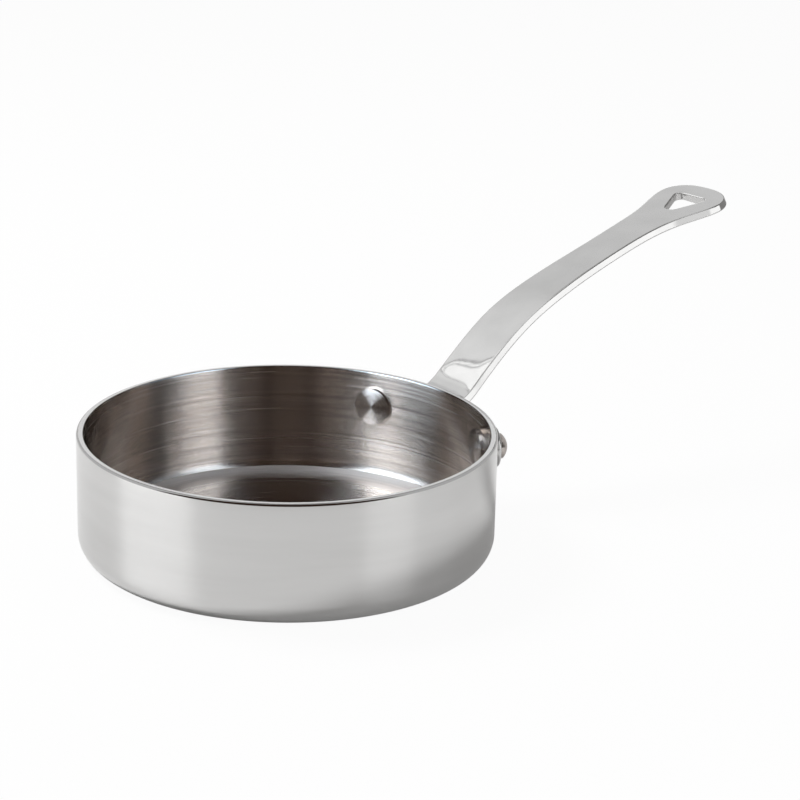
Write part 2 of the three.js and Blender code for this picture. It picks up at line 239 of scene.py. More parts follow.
# Each window: its middle and half width in degrees round, to the right of the camera, from and to in
# degrees up, how soft its edges are in degrees, its brightness and its tint. A later one covers an earlier.
bowl_windows = [
    (0, 180, 76, 100, 8, 0.2, PLAIN_WHITE),  # overhead
    (-74.5, 23.5, -20, 30, 12, 3.8, COOL_WHITE),  # left, low
    (-75.5, 22.5, 30, 66, 12, 5.6, COOL_WHITE),  # left, high
    (82, 18, -20, 64, 10, 0.4, COOL_WHITE),  # right, dim
    (56, 14, -20, 64, 8, 2.2, COOL_WHITE),  # right, towards the camera
    (180, 16, 8, 28, 6, 0.9, PLAIN_WHITE),  # behind, for the flat top of the rim
]
handle_windows = [
    (0, 180, 66, 100, 8, 1.1, PLAIN_WHITE),  # overhead
    (0, 45, 5, 55, 15, 0.5, PLAIN_WHITE),  # in front
    (-82, 30, -20, 62, 12, 1.2, PLAIN_WHITE),  # left
    (56, 14, -20, 60, 8, 1, PLAIN_WHITE),  # right, towards the camera
    (66, 34, 46, 62, 4, 0.06, PLAIN_WHITE),  # right, high, a dark cloth
    (76, 14, -20, 14, 5, 1.5, PLAIN_WHITE),  # right, low
    (-128, 16, 28, 52, 8, 1.06, PLAIN_WHITE),  # left, behind
    (-152, 18, 30, 64, 8, 0.96, PLAIN_WHITE),  # left, farther behind
    (-178, 24, 28, 45, 5, 0.8, PLAIN_WHITE),  # behind
    (180, 16, 8, 28, 6, 1.2, PLAIN_WHITE),  # behind, low
    (-108.5, 19, 20, 62, 0.3, 1.45, PLAIN_WHITE),  # the crisp window that curls at the handle's root
    (-128.9, 0.28, 20, 62, 0.2, 0.5, PLAIN_WHITE),  # its frame, outer line
    (-128.3, 0.34, 20, 62, 0.2, 1.5, PLAIN_WHITE),  # its frame, bright line
    (-127.75, 0.22, 20, 62, 0.2, 0.6, PLAIN_WHITE),  # its frame, inner line
]
rivet_windows = [
    (-54, 28, 0, 66, 10, 8.5, COOL_WHITE),  # left, for the wedges of light on the left head
    (-151, 30, 20, 60, 8, 2, PLAIN_WHITE),  # left, behind, for the right head
    (125, 50, -20, 55, 8, 0.7, PLAIN_WHITE),  # right, behind, for the buttons outside
]
shell_windows = [
    (0, 180, 76, 100, 8, 0.2, PLAIN_WHITE),  # overhead
    (125, 65, -20, 76, 12, 0.55, PLAIN_WHITE),  # right, so that the rim's edge is dark in front alone
    (-135, 65, -20, 76, 12, 0.6, PLAIN_WHITE),  # left, for the same
]
SHEET_SHARE = 0.8
sheet_windows = [(*window[:5], window[5] * SHEET_SHARE, PLAIN_WHITE) for window in bowl_windows]


def soft_inside(depth, softness):
    """One well inside an edge, nought well outside it, and an even change between."""
    share = min(max(depth / softness + 0.5, 0), 1)
    return share * share * (3 - 2 * share)


def tent_shade(turn, climb, ground, windows):
    """The shade of a tent's cloth in one direction."""
    shade = Vector(ground)
    for middle, half, low, high, softness, brightness, tint in windows:
        aside = abs((turn - middle + 180) % 360 - 180)
        share = soft_inside(half - aside, softness)
        share *= soft_inside(min(climb - low, high - climb), softness)
        shade = shade.lerp(Vector(tint) * brightness, share)
    return shade


print("windows chosen, bowl", len(bowl_windows), "handle", len(handle_windows))

# %% Hang the tents
OUTER_TENT = 1600
TENT_GAP = 100
TENT_STEP = 2
TENT_UP = (-2, 90)
WINDOW_FRAME = (-130, -126)
FRAME_STEP = 0.1


def tent_point(turn, climb, radius):
    """A place on a tent, from degrees to the right of the camera and up."""
    turn = math.radians(turn)
    climb = math.radians(climb)
    level = Vector((math.sin(turn), -math.cos(turn), 0)) * math.cos(climb)
    return studio_turn @ ((level + Vector((0, 0, math.sin(climb)))) * radius * MM)


def tent_cloth(name, sheer):
    """Cloth that glows in its own shade. Sheer cloth lets other reflections through."""
    cloth = bpy.data.materials.new(name)
    cloth.use_nodes = True
    tree = cloth.node_tree
    tree.nodes.clear()
    shade = add_node(tree, "ShaderNodeAttribute", attribute_name="shade")
    glow = add_node(tree, "ShaderNodeEmission", {"Strength": 1})
    end = add_node(tree, "ShaderNodeOutputMaterial")
    wire(tree, shade, glow, "Color")
    if sheer:
        gauze = add_node(tree, "ShaderNodeBsdfTransparent")
        both = add_node(tree, "ShaderNodeAddShader")
        wire(tree, glow, both, 0, 0)
        wire(tree, gauze, both, 0, 1)
        glow = both
    wire(tree, glow, end)
    return cloth


def hang_tent(name, order, ground, windows, fine_turns=()):
    """A tent that only the pieces in its own collection reflect. Returns that collection."""
    radius = OUTER_TENT - order * TENT_GAP
    turns = np.union1d(np.arange(-180, 181, TENT_STEP), fine_turns)
    climbs = np.arange(TENT_UP[0], TENT_UP[1] + 1, TENT_STEP)
    places = [(turn, climb) for turn in turns for climb in climbs]
    rows = len(climbs)
    corners = [column * rows + row for column in range(len(turns) - 1) for row in range(rows - 1)]
    faces = [(corner, corner + 1, corner + rows + 1, corner + rows) for corner in corners]
    mesh = bpy.data.meshes.new(name)
    mesh.from_pydata([tent_point(*place, radius) for place in places], [], faces)
    shade_layer = mesh.color_attributes.new("shade", "FLOAT_COLOR", "POINT")
    for spot, place in zip(shade_layer.data, places):
        spot.color = (*tent_shade(*place, ground, windows), 1)
    mesh.materials.append(tent_cloth(name + "_cloth", sheer=order > 0))
    tent = bpy.data.objects.new(name, mesh)
    tent.visible_camera = False
    tent.visible_diffuse = False
    tent.visible_shadow = False
    bpy.context.scene.collection.objects.link(tent)
    mirrors = bpy.data.collections.new(name + "_mirrors")
    tent.light_linking.receiver_collection = mirrors
    print(name, "of", len(faces), "faces, only seen in reflections")
    return mirrors


frame_turns = np.arange(*WINDOW_FRAME, FRAME_STEP)
bowl_mirrors = hang_tent("bowl_tent", 0, BOWL_DARK, bowl_windows)
handle_mirrors = hang_tent("handle_tent", 1, HANDLE_GREY, handle_windows, frame_turns)
rivet_mirrors = hang_tent("rivet_tent", 2, RIVET_GREY, rivet_windows)
sheet_mirrors = hang_tent("sheet_tent", 3, BOWL_DARK, sheet_windows)
shell_mirrors = hang_tent("shell_tent", 4, BOWL_DARK, shell_windows)
sheet_mirrors.objects.link(white_sheet)

# %% [markdown]
# ## Finishes in steel
# Every piece but the hidden core is stainless steel, and only the last tool that touched it differs: a felt
# wheel outside, a turning brush inside that can't quite follow the corner, a fine belt on the handle and a
# lathe on the rivets. One steel colour could serve all of them, but the marks of that tool are what the eye
# reads. So each finish gets the marks in its roughness and in a fine bump, laid the way the tool ran, and
# the Anisotropic setting stretches the shine across them.

# %% Lines round an axis
GRAIN_RADIUS = 60
GRAIN_TURN = 0.25
LINE_ROUGHNESS = 0.6
NOISE_LOW = 0.3
NOISE_HIGH = 0.7


def off_axis(tree):
    """A place on the piece, the same place without its height, and its distance from the Z axis."""
    place = add_node(tree, "ShaderNodeTexCoord")
    flat = add_node(tree, "ShaderNodeVectorMath", {1: (1, 1, 0)}, operation="MULTIPLY")
    reach = add_node(tree, "ShaderNodeVectorMath", operation="LENGTH")
    wire(tree, place, flat, "Object")
    wire(tree, flat, reach)
    return place, flat, reach


def turning_lines(tree, line_width, line_length, detail=3):
    """Noise drawn out into circles round the Z axis: fine across each line and slow along it."""
    place, flat, reach = off_axis(tree)
    heading = add_node(tree, "ShaderNodeVectorMath", operation="NORMALIZE")
    slow = add_node(tree, "ShaderNodeVectorMath", {"Scale": GRAIN_RADIUS / line_length}, operation="SCALE")
    parts = add_node(tree, "ShaderNodeSeparateXYZ")
    slow_parts = add_node(tree, "ShaderNodeSeparateXYZ")
    climb = add_node(tree, "ShaderNodeMath", operation="SUBTRACT")
    across = add_node(tree, "ShaderNodeMath", {1: 1 / (line_width * MM)}, operation="MULTIPLY")
    joined = add_node(tree, "ShaderNodeCombineXYZ")
    settings = {"Scale": 1, "Detail": detail, "Roughness": LINE_ROUGHNESS}
    lines = add_node(tree, "ShaderNodeTexNoise", settings)
    wire(tree, place, parts, "Object")
    wire(tree, flat, heading)
    wire(tree, heading, slow)
    wire(tree, slow, slow_parts)
    wire(tree, parts, climb, "Z", 0)
    wire(tree, reach, climb, "Value", 1)
    wire(tree, climb, across)
    wire(tree, across, joined, 0, 0)
    wire(tree, slow_parts, joined, "X", 1)
    wire(tree, slow_parts, joined, "Y", 2)
    wire(tree, joined, lines)
    return lines


def roughened(tree, source, smooth, rough, steel):
    """Lets the roughness of the steel vary with the marks."""
    scale = add_node(tree, "ShaderNodeMapRange", {1: NOISE_LOW, 2: NOISE_HIGH, 3: smooth, 4: rough})
    wire(tree, source, scale)
    wire(tree, scale, steel, 0, "Roughness")


def tinted(tree, source, dark, light, steel):
    """Colours the steel between two close tones."""
    tones = add_node(tree, "ShaderNodeValToRGB")
    tones.color_ramp.elements[0].position = NOISE_LOW
    tones.color_ramp.elements[1].position = NOISE_HIGH
    tones.color_ramp.elements[0].color = (*dark, 1)
    tones.color_ramp.elements[1].color = (*light, 1)
    wire(tree, source, tones)
    wire(tree, tones, steel, 0, "Base Color")


def marks(tree, source, strength, depth, steel):
    """Presses the tool marks into the surface as a fine bump."""
    bump = add_node(tree, "ShaderNodeBump", {"Strength": strength, "Distance": depth * MM})
    wire(tree, source, bump, 0, "Height")
    wire(tree, bump, steel, 0, "Normal")


def new_steel(name, anisotropy):
    """A metal material, with its shine stretched across the tool marks."""
    finish = bpy.data.materials.new(name)
    finish.use_nodes = True
    steel = finish.node_tree.nodes["Principled BSDF"]
    steel.inputs["Metallic"].default_value = 1
    steel.inputs["Anisotropic"].default_value = anisotropy
    return finish, finish.node_tree, steel


def turned_grain(tree, steel):
    """The grain runs round the Z axis."""
    grain = add_node(tree, "ShaderNodeTangent", direction_type="RADIAL", axis="Z")
    wire(tree, grain, steel, 0, "Tangent")
    steel.inputs["Anisotropic Rotation"].default_value = GRAIN_TURN


# %% Polished steel for the outside
polished, tree, steel = new_steel("polished_steel", anisotropy=0.35)
fine = turning_lines(tree, line_width=0.5, line_length=40)
broad = turning_lines(tree, line_width=6, line_length=60)
tinted(tree, broad, dark=(0.64, 0.638, 0.634), light=(0.68, 0.678, 0.674), steel=steel)
roughened(tree, fine, smooth=0.07, rough=0.13, steel=steel)
marks(tree, fine, strength=0.04, depth=0.02, steel=steel)
turned_grain(tree, steel)
print("polished steel ready")

# %% Brushed steel for the cooking side
brushed, tree, steel = new_steel("brushed_steel", anisotropy=1)
fine = turning_lines(tree, line_width=0.3, line_length=90, detail=4)
broad = turning_lines(tree, line_width=0.8, line_length=160, detail=6)
tinted(tree, broad, dark=(0.47, 0.415, 0.375), light=(0.72, 0.645, 0.59), steel=steel)
roughened(tree, fine, smooth=0.19, rough=0.28, steel=steel)
marks(tree, fine, strength=0.25, depth=0.02, steel=steel)
turned_grain(tree, steel)
print("brushed steel ready")

# %% Satin steel where the brush can't follow the corner
SATIN_FROM = 50
SATIN_FULL = 57
SATIN_ROUGHNESS = (0.3, 0.68)

satin, tree, steel = new_steel("satin_steel", anisotropy=0.6)
fine = turning_lines(tree, line_width=0.3, line_length=60, detail=4)
tinted(tree, fine, dark=(0.54, 0.48, 0.44), light=(0.66, 0.59, 0.54), steel=steel)
fade_span = {1: SATIN_FROM * MM, 2: SATIN_FULL * MM, 3: SATIN_ROUGHNESS[0], 4: SATIN_ROUGHNESS[1]}
fade = add_node(tree, "ShaderNodeMapRange", fade_span)
wire(tree, off_axis(tree)[2], fade, "Value")
wire(tree, fade, steel, 0, "Roughness")
marks(tree, fine, strength=0.16, depth=0.02, steel=steel)
turned_grain(tree, steel)
print("satin steel ready")

# %% Belt-polished cast steel for the handle
BELT_GRAIN = (60, 2400, 2400)
SKIN_GRAIN = 120

cast, tree, steel = new_steel("cast_steel", anisotropy=0.2)
place = add_node(tree, "ShaderNodeTexCoord")
along_belt = add_node(tree, "ShaderNodeVectorMath", {1: BELT_GRAIN}, operation="MULTIPLY")
belt = add_node(tree, "ShaderNodeTexNoise", {"Scale": 1, "Detail": 3})
skin = add_node(tree, "ShaderNodeTexNoise", {"Scale": SKIN_GRAIN, "Detail": 2})
wire(tree, place, along_belt, "Object")
wire(tree, along_belt, belt)
wire(tree, place, skin, "Object")
tinted(tree, skin, dark=(0.6, 0.598, 0.594), light=(0.64, 0.638, 0.634), steel=steel)
roughened(tree, belt, smooth=0.03, rough=0.055, steel=steel)
marks(tree, skin, strength=0.05, depth=0.2, steel=steel)
print("cast steel ready")

# %% Turned steel for the rivets
turned_steel, tree, steel = new_steel("rivet_steel", anisotropy=1)
fine = turning_lines(tree, line_width=0.16, line_length=60)
tinted(tree, fine, dark=(0.44, 0.4, 0.37), light=(0.6, 0.55, 0.52), steel=steel)
roughened(tree, fine, smooth=0.17, rough=0.22, steel=steel)
marks(tree, fine, strength=0.06, depth=0.02, steel=steel)
turned_grain(tree, steel)
print("turned steel ready")

# %% Rolled aluminium for the core
rolled, tree, steel = new_steel("core_aluminium", anisotropy=0.3)
fine = turning_lines(tree, line_width=0.6, line_length=50)
tinted(tree, fine, dark=(0.7, 0.7, 0.71), light=(0.82, 0.82, 0.83), steel=steel)
roughened(tree, fine, smooth=0.4, rough=0.55, steel=steel)
marks(tree, fine, strength=0.1, depth=0.03, steel=steel)
print("rolled aluminium ready")

# %% [markdown]
# ## The pressed bowl
# The bowl is sheet steel drawn over a round tool, so any cut through its axis shows the same profile: a flat
# base, a rounded corner, a straight wall and a rim whose outer edge is eased. It could be a cylinder with
# bevels, but the three plies and the rim need exact steps. A profile turned about the axis with the spin
# operator gives them, with many small steps in the straight stretches so that reflections run evenly. The
# liner's faces then take three finishes: brushed, polished on the rim and satin in the corner.

# %% A profile and its turning
PAN_RADIUS = 60
PAN_HEIGHT = 35.8
CORNER_RADIUS = 6.1
RING_SEGMENTS = 192
MERGE_WITHIN = 1e-6
SHARP_FROM = 50


def arc(centre, radius, start, stop, steps):
    """Points of an arc, with its angles in degrees."""
    x, y = centre
    angles = [math.radians(start + (stop - start) * step / steps) for step in range(steps + 1)]
    return [(x + radius * math.cos(angle), y + radius * math.sin(angle)) for angle in angles]


def straight(start, stop, steps):
    """Points along a straight line, without its last point."""
    shares = [step / steps for step in range(steps)]
    return [tuple(a + (b - a) * share for a, b in zip(start, stop)) for share in shares]


def turn_profile(name, profile, segments):
    """Spins a profile of radius and height, in millimetres, about the Z axis."""
    form = bmesh.new()
    points = [form.verts.new((radius * MM, 0, height * MM)) for radius, height in profile]
    lines = [form.edges.new(pair) for pair in zip(points, points[1:])]
    bmesh.ops.spin(
        form,
        geom=points + lines,
        cent=(0, 0, 0),
        axis=(0, 0, 1),
        angle=2 * math.pi,
        steps=segments,
        use_merge=True,
    )
    bmesh.ops.remove_doubles(form, verts=form.verts, dist=MERGE_WITHIN)
    return finish_mesh(name, form)


def finish_mesh(name, form):
    """Turns worked faces into an object with smooth faces and sharp real corners."""
    bmesh.ops.recalc_face_normals(form, faces=form.faces)
    mesh = bpy.data.meshes.new(name)
    form.to_mesh(mesh)
    form.free()
    mesh.shade_smooth()
    mesh.set_sharp_from_angle(angle=math.radians(SHARP_FROM))
    piece = bpy.data.objects.new(name, mesh)
    bpy.context.scene.collection.objects.link(piece)
    return piece


def refinish(piece, finish, chosen):
    """Gives another finish to those faces of a piece that are chosen by their middle."""
    piece.data.materials.append(finish)
    faces = [face for face in piece.data.polygons if chosen(face.center)]
    for face in faces:
        face.material_index = len(piece.data.materials) - 1
    print(finish.name, "on", len(faces), "faces of", piece.name)


def dress(piece, finish, node, mirrors):
    """Gives a piece its finish and its tent, and puts it in the place of its measured node."""
    piece.data.materials.append(finish)
    mirrors.objects.link(piece)
    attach(piece, "root")
    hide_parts(node)
    print(piece.name, "has", len(piece.data.polygons), "faces")


# %% Turn the outer shell
SHELL_THICKNESS = 0.5
RIM_ROUND = 0.7
BASE_STEPS = 24
CORNER_STEPS = 18
WALL_STEPS = 20
RIM_STEPS = 6
HIDDEN_STEPS = 6
HIDDEN_WALL_STEPS = 2

corner_centre = (PAN_RADIUS - CORNER_RADIUS, CORNER_RADIUS)
rim_centre = (PAN_RADIUS - RIM_ROUND, PAN_HEIGHT - RIM_ROUND)
shell_edge = math.degrees(math.acos((RIM_ROUND - SHELL_THICKNESS) / RIM_ROUND))
shell_inside = PAN_RADIUS - SHELL_THICKNESS
shell_profile = [
    *straight((0, 0), (corner_centre[0], 0), BASE_STEPS),
    *arc(corner_centre, CORNER_RADIUS, -90, 0, CORNER_STEPS),
    *straight((PAN_RADIUS, CORNER_RADIUS), (PAN_RADIUS, rim_centre[1]), WALL_STEPS)[1:],
    *arc(rim_centre, RIM_ROUND, 0, shell_edge, RIM_STEPS),
    *straight((shell_inside, rim_centre[1]), (shell_inside, CORNER_RADIUS), HIDDEN_WALL_STEPS),
    *arc(corner_centre, CORNER_RADIUS - SHELL_THICKNESS, 0, -90, HIDDEN_STEPS),
    (0, SHELL_THICKNESS),
]
outer_shell = turn_profile("pan_outer_shell", shell_profile, RING_SEGMENTS)
dress(outer_shell, polished, "outer_shell", shell_mirrors)

# %% Turn the inner liner
WALL_THICKNESS = 2
LINER_THICKNESS = 0.5
LIP_THICKNESS = 0.6
RIM_INNER_ROUND = 0.3
FLOOR_STEPS = 30
INNER_CORNER_STEPS = 14
INNER_RIM_STEPS = 4

cooking_radius = PAN_RADIUS - WALL_THICKNESS
liner_back = cooking_radius + LINER_THICKNESS
liner_corner = CORNER_RADIUS - WALL_THICKNESS
inner_rim_centre = (cooking_radius + RIM_INNER_ROUND, PAN_HEIGHT - RIM_INNER_ROUND)
liner_profile = [
    *straight((0, WALL_THICKNESS), (corner_centre[0], WALL_THICKNESS), FLOOR_STEPS),
    *arc(corner_centre, liner_corner, -90, 0, INNER_CORNER_STEPS),
    *straight((cooking_radius, CORNER_RADIUS), (cooking_radius, inner_rim_centre[1]), WALL_STEPS)[1:],
    *arc(inner_rim_centre, RIM_INNER_ROUND, 180, 90, INNER_RIM_STEPS),
    *arc(rim_centre, RIM_ROUND, 90, shell_edge, RIM_STEPS),
    (shell_inside, PAN_HEIGHT - LIP_THICKNESS),
    (liner_back, PAN_HEIGHT - LIP_THICKNESS),
    *arc(corner_centre, liner_corner + LINER_THICKNESS, 0, -90, HIDDEN_STEPS),
    (0, WALL_THICKNESS - LINER_THICKNESS),
]
inner_liner = turn_profile("pan_inner_liner", liner_profile, RING_SEGMENTS)
dress(inner_liner, brushed, "inner_liner", bowl_mirrors)

# %% Polish the rim and leave the corner satin
SATIN_BELOW = 3.6


def on_rim(middle):
    """Whether a face of the liner is part of the rim."""
    return middle.z > (PAN_HEIGHT - RIM_INNER_ROUND) * MM


def in_corner(middle):
    """Whether a face of the liner is in the corner or on the outer edge of the floor."""
    return middle.z < SATIN_BELOW * MM and middle.xy.length > SATIN_FROM * MM


refinish(inner_liner, polished, on_rim)
refinish(inner_liner, satin, in_corner)

# %% Finish the core where it lies
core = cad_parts["aluminium_core"]
core.data.materials.clear()
core.data.materials.append(rolled)
print("core keeps its measured shape, sealed between the two skins")

# %% [markdown]
# ## The cast handle
# The handle is one casting: a foot plate that hugs the wall, a stem that sweeps up in a long curve, and a
# flared end with a hole to hang it by. A subdivided box could be pulled into that shape, but the hole and
# the crisp edge would drift. Here the plan of the handle is drawn flat, filled with small triangles round
# the hole, given an edge that leans a little and is rounded above and below, and only then bent along the
# side line. Near the wall its top falls off slightly to both sides, which curls the window that is mirrored
# there. The foot plate is made the same way and bent round the wall.

# %% Smooth lines through measured places
def smooth_line(places, values, first_slope, last_slope):
    """A curve through measured values whose bend changes evenly. Returns its value and slope at a place."""
    x = np.array(places, float)
    y = np.array(values, float)
    step = np.diff(x)
    rise = np.diff(y) / step
    count = len(x)
    system = np.eye(count)
    known = np.zeros(count)
    known[0] = first_slope
    known[-1] = last_slope
    for i in range(1, count - 1):
        system[i, i - 1] = 1 / step[i - 1]
        system[i, i] = 2 / step[i - 1] + 2 / step[i]
        system[i, i + 1] = 1 / step[i]
        known[i] = 3 * (rise[i - 1] / step[i - 1] + rise[i] / step[i])
    slopes = np.linalg.solve(system, known)

    def at(place):
        i = int(np.clip(np.searchsorted(x, place) - 1, 0, count - 2))
        t = (place - x[i]) / step[i]
        bend_a = slopes[i] * step[i] - (y[i + 1] - y[i])
        bend_b = -slopes[i + 1] * step[i] + (y[i + 1] - y[i])
        value = (1 - t) * y[i] + t * y[i + 1] + t * (1 - t) * ((1 - t) * bend_a + t * bend_b)
        slope = (y[i + 1] - y[i]) / step[i]
        slope += ((1 - 2 * t) * ((1 - t) * bend_a + t * bend_b) + t * (1 - t) * (bend_b - bend_a)) / step[i]
        return float(value), float(slope)

    return at


# %% The handle's side line, width and depth
HANDLE_REACH = 114.2
HANDLE_TOP = 81.7
ROOT_TOP = 35.1
TIP_ROUND = 9
TIP_FULLNESS = 0.8
ROOT_LEAD = 4
ROOT_TAPER = -0.02
ROOT_THINNING = -0.9
EDGE_THICKNESS = 2.4
EDGE_ROUND = 0.4
EDGE_DRAFT = 0.45
ROOT_CROWN = 0.316
CROWN_REACH = 27.9
CROWN_POWER = 5.37
TIP_SLOPE = 0.233

stem_reach = HANDLE_REACH - TIP_ROUND
along = [0, 3.5, 6.5, 10, 22.1, 40, 66.3, 80, 92, 99.9, stem_reach]
top = [ROOT_TOP, 36.98, 39.61, 42.66, 52.1, 61, 69.7, 73.7, 76.6, 78.4, 79.6]
half_width = [9, 8.9, 8.85, 8.8, 8.75, 8.15, 7.3, 7.65, 9.5, 12, 12.9]
depth = [9, 6.9, 5.9, 5.2, 4.6, 4, 3.5, 3.2, 3, 2.9, 2.9]

side_places = [-ROOT_LEAD, *along, HANDLE_REACH]
side_line = smooth_line(side_places, [ROOT_TOP, *top, HANDLE_TOP], 0, TIP_SLOPE)
width_line = smooth_line(along, half_width, ROOT_TAPER, 0)
depth_line = smooth_line(along, depth, ROOT_THINNING, 0)


def half_at(out):
    """Half the handle's width, with the round tip."""
    if out <= stem_reach:
        return width_line(max(out, 0))[0]
    across = min((out - stem_reach) / TIP_ROUND, 1)
    return half_width[-1] * math.sqrt(max(1 - across**2, 0)) ** TIP_FULLNESS


def depth_at(out, across):
    """Thickness of the handle under its top face: an even edge and a belly along the middle."""
    flat = max(half_at(out) - EDGE_ROUND, EDGE_ROUND)
    share = min(abs(across) / flat, 1)
    deep = depth_line(min(max(out, 0), stem_reach))[0]
    return EDGE_THICKNESS + (deep - EDGE_THICKNESS) * math.cos(share * math.pi / 2) ** 2


def on_handle(out, across, down):
    """A place on the handle, so far out, across and down from its top face, in metres."""
    height, slope = side_line(out)
    lean = math.hypot(1, slope)
    near_root = min(max(1 - out / CROWN_REACH, 0), 1)
    height -= ROOT_CROWN * near_root**2 * (abs(across) / half_width[0]) ** CROWN_POWER
    return Vector((PAN_RADIUS + out + slope / lean * down, across, height - down / lean)) * MM


print("handle top at the wall", ROOT_TOP, "and at the tip", HANDLE_TOP)

# %% [markdown]
# ### A plate from a drawn outline
# An outline is a loop of points. Each loop is stepped inwards a little at a time to make the rounded edge,
# and the space between the innermost loops is filled by Delaunay triangles over a grid of extra points, so
# the flat face can bend smoothly afterwards.

# %% Loops and their rounded edge
FLAT_HOLD = 0.12
EDGE_SUPPORT = 0.15


def even_loop(points, spacing):
    """The same closed loop with its points at an even spacing."""
    loop = np.array(points + points[:1], float)
    lengths = np.hypot(*np.diff(loop, axis=0).T)
    run = np.concatenate([[0], np.cumsum(lengths)])
    count = int(round(run[-1] / spacing))
    marks_along = np.linspace(0, run[-1], count, endpoint=False)
    return np.column_stack([np.interp(marks_along, run, loop[:, axis]) for axis in (0, 1)])


def outward(loop):
    """Directions out of the metal at each point: to the right of a loop that has the metal on its left."""
    ahead = np.roll(loop, -1, axis=0) - np.roll(loop, 1, axis=0)
    ahead /= np.hypot(*ahead.T)[:, None]
    return np.column_stack([ahead[:, 1], -ahead[:, 0]])


def edge_rows(loop, edge_round, draft, thickness_at, steps):
    """Rows of places on the plan, with their depth, from the top face round the edge to the underside."""
    out = outward(loop)
    rows = []
    for below in (False, True):
        angles = [math.pi / 2 * step / steps for step in range(steps + 1)]
        lean = 0 if below else draft
        insets = [(edge_round + draft + EDGE_SUPPORT, 0, 0)]
        for angle in angles:
            inset = lean + edge_round * (1 - math.sin(angle))
            insets.append((inset, edge_round * (1 - math.cos(angle)), 0))
        insets.append((draft * (FLAT_HOLD if below else 1 - FLAT_HOLD), edge_round, FLAT_HOLD))
        for inset, drop, hold in reversed(insets) if below else insets:
            spots = loop - out * inset
            depths = np.array([thickness_at(*spot) for spot in spots])
            downs = drop + hold * (depths - 2 * edge_round)
            downs = depths - downs if below else downs
            rows.append([(spot[0], spot[1], down) for spot, down in zip(spots, downs)])
    return rows


# %% Fill and close a plate
ROW_SHARE = 0.87
CLEAR_SHARE = 0.6
TRIANGLES_INSIDE = 2
SAME_SPOT = 1e-6


def inside(loop, spot):
    """Whether a spot lies inside a loop."""
    after = np.roll(loop, -1, axis=0)
    crosses = (loop[:, 1] > spot[1]) != (after[:, 1] > spot[1])
    start = loop[crosses]
    stop = after[crosses]
    meets = start[:, 0] + (spot[1] - start[:, 1]) * (stop[:, 0] - start[:, 0]) / (stop[:, 1] - start[:, 1])
    return np.count_nonzero(meets > spot[0]) % 2 == 1


def fill_points(loops, spacing):
    """A staggered grid of points inside the first loop and clear of every loop."""
    low = loops[0].min(axis=0)
    high = loops[0].max(axis=0)
    rim = np.concatenate(loops)
    spots = []
    for row, v in enumerate(np.arange(low[1], high[1], spacing * ROW_SHARE)):
        for u in np.arange(low[0] + (row % 2) * spacing / 2, high[0], spacing):
            if np.hypot(rim[:, 0] - u, rim[:, 1] - v).min() > spacing * CLEAR_SHARE:
                spots.append((u, v))
    return spots


def plate(form, loops, rounds, drafts, thickness_at, place, spacing, steps=5):
    """Adds a plate with rounded edges to a mesh. The first loop is its outline and the others are holes."""
    inner_loops = []
    for loop, edge_round, draft in zip(loops, rounds, drafts):
        rows = edge_rows(loop, edge_round, draft, thickness_at, steps)
        inner_loops.append(np.array([spot[:2] for spot in rows[0]]))
        corners = [[form.verts.new(place(*spot)) for spot in row] for row in rows]
        for upper, lower in zip(corners, corners[1:]):
            for i in range(len(upper)):
                j = (i + 1) % len(upper)
                form.faces.new((upper[i], upper[j], lower[j], lower[i]))
    flat = [tuple(spot) for loop in inner_loops for spot in loop]
    edges = []
    for loop in inner_loops:
        first = len(edges)
        edges += [(first + i, first + (i + 1) % len(loop)) for i in range(len(loop))]
    flat += fill_points(inner_loops, spacing)
    flat = [Vector(spot) for spot in flat]
    spots, _, filled, *_ = delaunay_2d_cdt(flat, edges, [], TRIANGLES_INSIDE, SAME_SPOT)
    middles = [sum((spots[i] for i in triangle), Vector((0, 0))) / 3 for triangle in filled]
    solid = [not any(inside(loop, spot) for loop in inner_loops[1:]) for spot in middles]
    triangles = [triangle for triangle, kept in zip(filled, solid) if kept]
    for below in (False, True):
        face = [form.verts.new(place(u, v, thickness_at(u, v) if below else 0)) for u, v in spots]
        for triangle in triangles:
            form.faces.new([face[i] for i in (reversed(triangle) if below else triangle)])
    loose = [point for point in form.verts if not point.link_faces]
    bmesh.ops.delete(form, geom=loose, context="VERTS")
    bmesh.ops.remove_doubles(form, verts=form.verts, dist=MERGE_WITHIN)


# %% Draw the handle's plan
ROOT_SUNK = 1.65
ROOT_CORNER = 1.6
HOLE_FROM_TIP = 7.4
HOLE_LENGTH = 12.2
HOLE_WIDTH = 12
HOLE_POINT_RADIUS = 2.4
HOLE_CORNER_RADIUS = 2
HOLE_STEPS = 14
ROOT_STEPS = 5
STEM_FROM = 0.3
STEM_STEPS = 90
TIP_FROM = 0.05
TIP_STEPS = 40

near_edge = []
for angle in np.radians(np.linspace(-90, 0, ROOT_STEPS)):
    root_out = -ROOT_SUNK + ROOT_CORNER * (1 + math.sin(angle))
    near_edge.append((root_out, half_width[0] - ROOT_CORNER * (1 - math.cos(angle))))
near_edge += [(out, half_at(out)) for out in np.linspace(STEM_FROM, stem_reach, STEM_STEPS)]
for angle in np.linspace(TIP_FROM, math.pi / 2, TIP_STEPS):
    tip_out = stem_reach + TIP_ROUND * math.sin(angle)
    near_edge.append((tip_out, half_at(tip_out)))
plan = [(out, -across) for out, across in near_edge] + near_edge[-2::-1]

